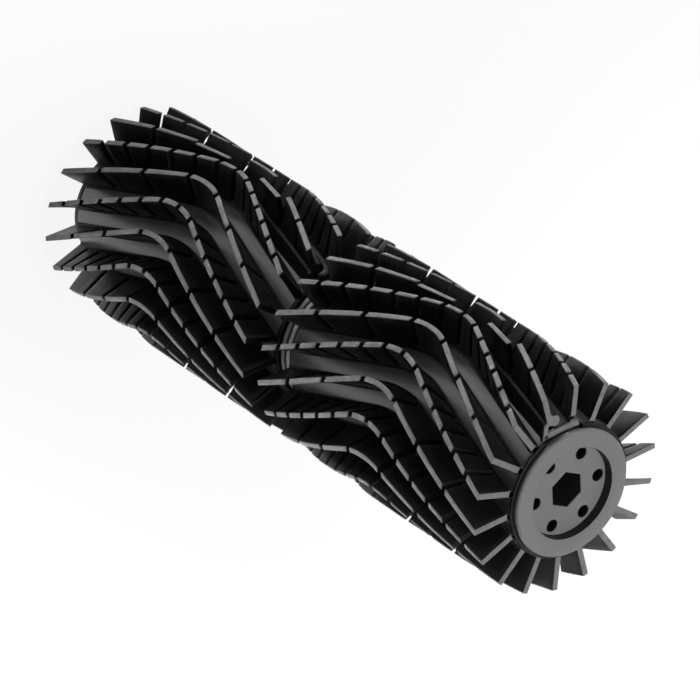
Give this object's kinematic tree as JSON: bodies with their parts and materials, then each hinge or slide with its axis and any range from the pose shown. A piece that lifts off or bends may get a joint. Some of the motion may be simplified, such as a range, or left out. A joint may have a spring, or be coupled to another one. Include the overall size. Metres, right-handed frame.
{
  "type": "pool cleaner roller brush",
  "caption": "Roller brush for a pool floor cleaner: soft slit chevron fins on two sleeves round a hollow drum with a hexagonal drive socket.",
  "frame": {"origin": "centre of the far end face, which the brush stands on", "axes": "+Z along the axle towards the near end face, +X midway between the two ends of the first fin"},
  "size_m": [0.08, 0.08, 0.2678],
  "materials": {
    "drum": "satin moulded plastic, charcoal",
    "sleeve": "soft moulded elastomer, charcoal, faint sheen"
  },
  "bodies": {
    "root": {"drum_far": "drum", "drum_near": "drum", "sleeve_far": "sleeve", "sleeve_near": "sleeve"}
  },
  "joints": []
}
